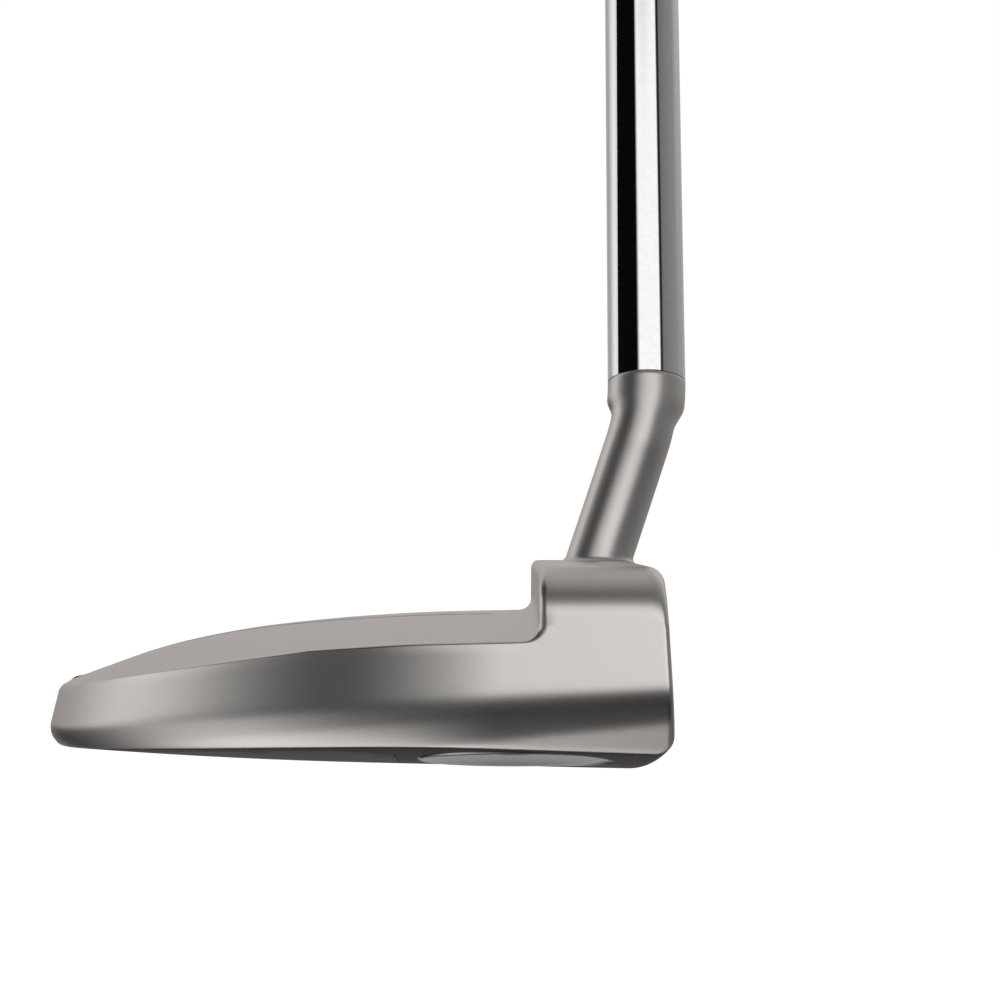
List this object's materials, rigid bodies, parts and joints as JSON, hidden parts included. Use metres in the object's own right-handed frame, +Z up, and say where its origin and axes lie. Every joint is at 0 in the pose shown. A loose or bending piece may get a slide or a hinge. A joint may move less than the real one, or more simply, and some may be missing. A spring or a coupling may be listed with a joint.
{
  "type": "mallet putter",
  "caption": "Mallet golf putter with a raised face block, domed flange, slanted neck, sole plate, screw-in sole weights, stepped shaft and flat-fronted grip.",
  "frame": {"origin": "on the small flat of the sole, at ground level under the middle of the head", "axes": "+X the way the face looks (towards the target), +Y from toe to heel (towards the golfer), +Z up with the club soled at its lie angle"},
  "size_m": [0.0837, 0.3573, 0.8248],
  "materials": {
    "satin_steel": "satin",
    "satin_steel_neck": "satin",
    "black_paint": "matte",
    "brushed_aluminium": "satin",
    "adhesive_film": "matte",
    "screw_steel": "satin",
    "epoxy": "matte",
    "chrome_steel": "polished",
    "paper_tape": "matte",
    "foam_rubber": "matte",
    "grip_polymer": "matte",
    "cap_rubber": "matte",
    "polished_steel": "polished",
    "nylon": "matte"
  },
  "bodies": {
    "putter": {"head_body": "satin_steel", "sight_line_paint": "black_paint", "sole_plate": "brushed_aluminium", "sole_plate_bond": "adhesive_film", "sole_plate_screws": "screw_steel", "slant_neck": "satin_steel_neck", "neck_bond": "epoxy", "shaft_bond": "epoxy", "shaft": "chrome_steel", "grip_tape": "paper_tape", "grip_core": "foam_rubber", "grip_skin": "grip_polymer", "grip_cap": "cap_rubber"},
    "toe_washer": {"toe_weight_washer": "nylon"},
    "toe_weight": {"toe_weight": "polished_steel"},
    "heel_washer": {"heel_weight_washer": "nylon"},
    "heel_weight": {"heel_weight": "polished_steel"}
  },
  "joints": [
    {"name": "toe_weight_travel", "type": "slide", "parent": "putter", "child": "toe_washer", "axis": [0, -0.1345, -0.9909], "range_m": [0, 0.0066]},
    {"name": "toe_weight_turn", "type": "hinge", "parent": "toe_washer", "child": "toe_weight", "pos_m": [0.0016, -0.038, 0.00239], "axis": [0, -0.1345, -0.9909], "range_deg": [0, 2340]},
    {"name": "heel_weight_travel", "type": "slide", "parent": "putter", "child": "heel_washer", "axis": [0, 0.1345, -0.9909], "range_m": [0, 0.0066]},
    {"name": "heel_weight_turn", "type": "hinge", "parent": "heel_washer", "child": "heel_weight", "pos_m": [0.0016, 0.038, 0.00239], "axis": [0, 0.1345, -0.9909], "range_deg": [0, 2340]}
  ],
  "couplings": [
    {"joint": "toe_weight_travel", "follows": "toe_weight_turn", "m_per_rad": 0.00015915},
    {"joint": "heel_weight_travel", "follows": "heel_weight_turn", "m_per_rad": 0.00015915}
  ]
}
